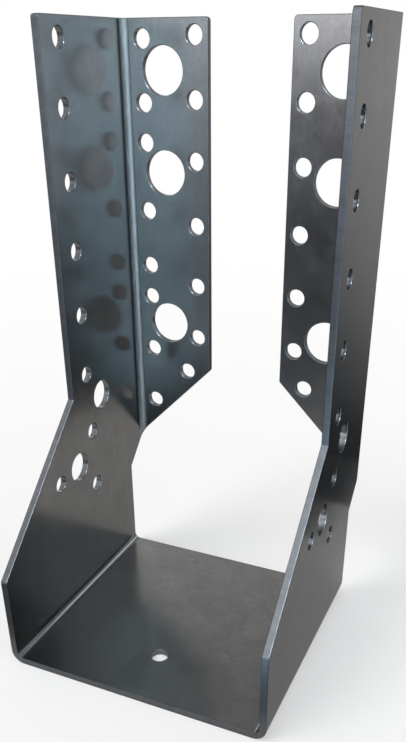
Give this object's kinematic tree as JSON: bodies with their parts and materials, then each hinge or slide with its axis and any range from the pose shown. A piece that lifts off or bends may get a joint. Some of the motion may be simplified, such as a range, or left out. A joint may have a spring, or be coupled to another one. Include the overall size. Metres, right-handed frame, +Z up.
{
  "type": "joist hanger",
  "caption": "U-shaped folded steel hanger with two inward header flanges and a flat seat, which carries the end of a timber joist on a beam.",
  "frame": {"origin": "underside of the seat, in the middle of the hanger's width and depth", "axes": "+Z up along the legs, +Y back towards the header beam, +X across the joist"},
  "size_m": [0.08, 0.0834, 0.166],
  "materials": {
    "galvanised_steel": "hot-dip galvanised sheet, softly reflective, with sheared and punched edges left bare"
  },
  "bodies": {
    "root": {"hanger": "galvanised_steel"}
  },
  "joints": []
}
